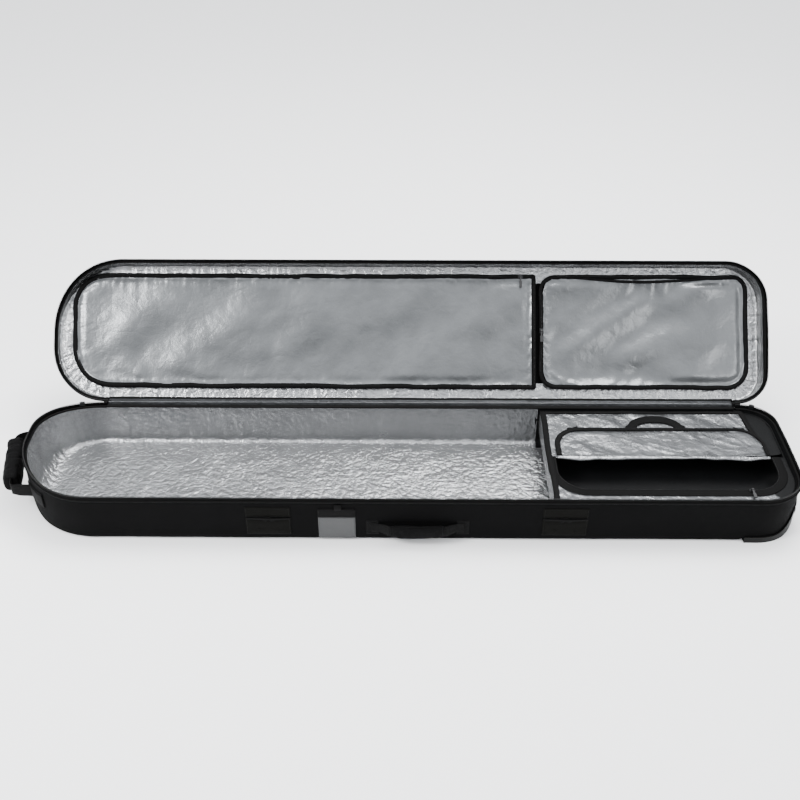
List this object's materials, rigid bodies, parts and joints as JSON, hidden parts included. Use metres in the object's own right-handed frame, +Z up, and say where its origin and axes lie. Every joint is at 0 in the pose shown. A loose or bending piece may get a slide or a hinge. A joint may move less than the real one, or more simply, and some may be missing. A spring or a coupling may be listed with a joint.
{
  "type": "snowboard bag",
  "caption": "Long padded roller bag for skis or a board, lid hinged open, silver lined, with lid pockets, a boot compartment, haul handles and tail wheels.",
  "frame": {"origin": "middle of the flat underside, on the surface that the bag lies on", "axes": "+X along the bag to its wheel end, +Y to the hinge side, +Z up out of the open base"},
  "size_m": [1.9777, 0.7054, 0.4238],
  "materials": {
    "shell_fabric": "coated polyester weave, matte",
    "silver_lining": "aluminised tarpaulin, crinkled, satin sheen",
    "boot_lining": "coated dark lining",
    "zip_tape": "woven zip tape with nylon coil",
    "webbing": "woven polypropylene webbing",
    "grip_fabric": "padded woven sleeve",
    "reflective_patch": "grey woven patch",
    "tray_plastic": "moulded, fine texture",
    "wheel_rubber": "matte",
    "hub_plastic": "satin",
    "steel": "zinc plated",
    "slider_metal": "gunmetal",
    "puller_plastic": "moulded"
  },
  "bodies": {
    "base": {"base_bottom_panel": "shell_fabric", "base_front_wall": "shell_fabric", "base_rear_wall": "shell_fabric", "base_nose_wall": "shell_fabric", "base_tail_wall": "shell_fabric", "strap_pocket_left": "shell_fabric", "strap_pocket_right": "shell_fabric", "base_lining": "silver_lining", "boot_top_panel": "silver_lining", "boot_floor": "boot_lining", "boot_wall": "boot_lining", "base_zipper_half": "zip_tape", "boot_zip_tape": "zip_tape", "hinge_gusset": "zip_tape", "front_handle_anchors": "webbing", "haul_anchor_tabs": "webbing", "compression_straps": "webbing", "label_loop": "webbing", "label_band": "webbing", "label_patch": "reflective_patch", "wheel_tray": "tray_plastic", "wheel_axles": "steel", "tray_rivets": "steel"},
    "lid": {"lid_top_panel": "shell_fabric", "lid_front_wall": "shell_fabric", "lid_rear_wall": "shell_fabric", "lid_nose_wall": "shell_fabric", "lid_tail_wall": "shell_fabric", "lid_lining": "silver_lining", "lid_hinge_strip": "silver_lining", "lid_zipper_half": "zip_tape", "pocket_panel_long": "silver_lining", "pocket_panel_short": "silver_lining", "pocket_zip_long": "zip_tape", "pocket_zip_short": "zip_tape"},
    "wheel_front": {"wheel_tyre_front": "wheel_rubber", "wheel_hub_front": "hub_plastic", "wheel_bearings_front": "steel"},
    "wheel_rear": {"wheel_tyre_rear": "wheel_rubber", "wheel_hub_rear": "hub_plastic", "wheel_bearings_rear": "steel"},
    "flap": {"boot_flap": "silver_lining", "boot_flap_binding": "webbing"},
    "flap_handle": {"boot_flap_handle": "webbing"},
    "front_handle": {"front_handle_webbing": "webbing", "front_handle_grip": "grip_fabric"},
    "haul_handle": {"haul_handle_webbing": "webbing", "haul_handle_sleeve": "grip_fabric"},
    "slider_main_left_body": {"slider_main_left": "slider_metal"},
    "puller_main_left_body": {"puller_main_left": "puller_plastic"},
    "slider_main_right_body": {"slider_main_right": "slider_metal"},
    "puller_main_right_body": {"puller_main_right": "puller_plastic"},
    "slider_pocket_long_body": {"slider_pocket_long": "slider_metal"},
    "puller_pocket_long_body": {"puller_pocket_long": "puller_plastic"},
    "slider_pocket_short_body": {"slider_pocket_short": "slider_metal"},
    "puller_pocket_short_body": {"puller_pocket_short": "puller_plastic"},
    "slider_boot_body": {"slider_boot": "slider_metal"},
    "puller_boot_body": {"puller_boot": "puller_plastic"}
  },
  "joints": [
    {"name": "lid_hinge", "type": "hinge", "parent": "base", "child": "lid", "pos_m": [0.035, 0.191, 0.134], "axis": [-1, 0, 0], "range_deg": [-130, 50]},
    {"name": "wheel_front_spin", "type": "hinge", "parent": "base", "child": "wheel_front", "pos_m": [0.918, -0.105, 0.036], "axis": [0, 1, 0], "continuous": true},
    {"name": "wheel_rear_spin", "type": "hinge", "parent": "base", "child": "wheel_rear", "pos_m": [0.918, 0.105, 0.036], "axis": [0, 1, 0], "continuous": true},
    {"name": "flap_fold", "type": "hinge", "parent": "base", "child": "flap", "pos_m": [0.638, -0.012, 0.1165], "axis": [-1, 0, 0], "range_deg": [-180, 0]},
    {"name": "flap_handle_fold", "type": "hinge", "parent": "flap", "child": "flap_handle", "pos_m": [0.64, 0.1044, 0.1162], "axis": [1, 0, 0], "range_deg": [0, 95]},
    {"name": "front_handle_lift", "type": "hinge", "parent": "base", "child": "front_handle", "pos_m": [0.025, -0.1932, 0.044], "axis": [1, 0, 0], "range_deg": [-25, 25]},
    {"name": "haul_handle_swing", "type": "hinge", "parent": "base", "child": "haul_handle", "pos_m": [-0.962, -0.005, 0.086], "axis": [0, 1, 0], "range_deg": [-45, 45]},
    {"name": "slider_main_left_travel", "type": "hinge", "parent": "base", "child": "slider_main_left_body", "pos_m": [-0.79882, 0.04812, 0.17409], "axis": [0.0135, 0.2745, 0.9615], "range_deg": [-17, 17]},
    {"name": "slider_main_right_travel", "type": "hinge", "parent": "base", "child": "slider_main_right_body", "pos_m": [0.872, 0.112, 0.134], "axis": [0, 0, -1], "range_deg": [-12, 62]},
    {"name": "slider_pocket_long_travel", "type": "slide", "parent": "lid", "child": "slider_pocket_long_body", "axis": [-1, 0, 0], "range_m": [0, 1.05]},
    {"name": "slider_pocket_short_travel", "type": "slide", "parent": "lid", "child": "slider_pocket_short_body", "axis": [0, -0.6428, -0.766], "range_m": [-0.095, 0.095]},
    {"name": "slider_boot_travel", "type": "slide", "parent": "base", "child": "slider_boot_body", "axis": [-1, 0, 0], "range_m": [0, 0.37]},
    {"name": "puller_main_left_swing", "type": "hinge", "parent": "slider_main_left_body", "child": "puller_main_left_body", "pos_m": [-0.8582, 0.18312, 0.13478], "axis": [0.9212, 0.3706, -0.1188], "range_deg": [0, 95]},
    {"name": "puller_main_right_swing", "type": "hinge", "parent": "slider_main_right_body", "child": "puller_main_right_body", "pos_m": [0.90556, 0.18737, 0.131], "axis": [0.9135, -0.4067, 0], "range_deg": [0, 80]},
    {"name": "puller_pocket_long_swing", "type": "hinge", "parent": "slider_pocket_long_body", "child": "puller_pocket_long_body", "pos_m": [0.303, 0.43945, 0.37393], "axis": [-1, 0, 0], "range_deg": [0, 160]},
    {"name": "puller_pocket_short_swing", "type": "hinge", "parent": "slider_pocket_short_body", "child": "puller_pocket_short_body", "pos_m": [0.3585, 0.34464, 0.26094], "axis": [-1, 0, 0], "range_deg": [0, 160]},
    {"name": "puller_boot_swing", "type": "hinge", "parent": "slider_boot_body", "child": "puller_boot_body", "pos_m": [0.826, -0.135, 0.1209], "axis": [-1, 0, 0], "range_deg": [0, 160]}
  ]
}
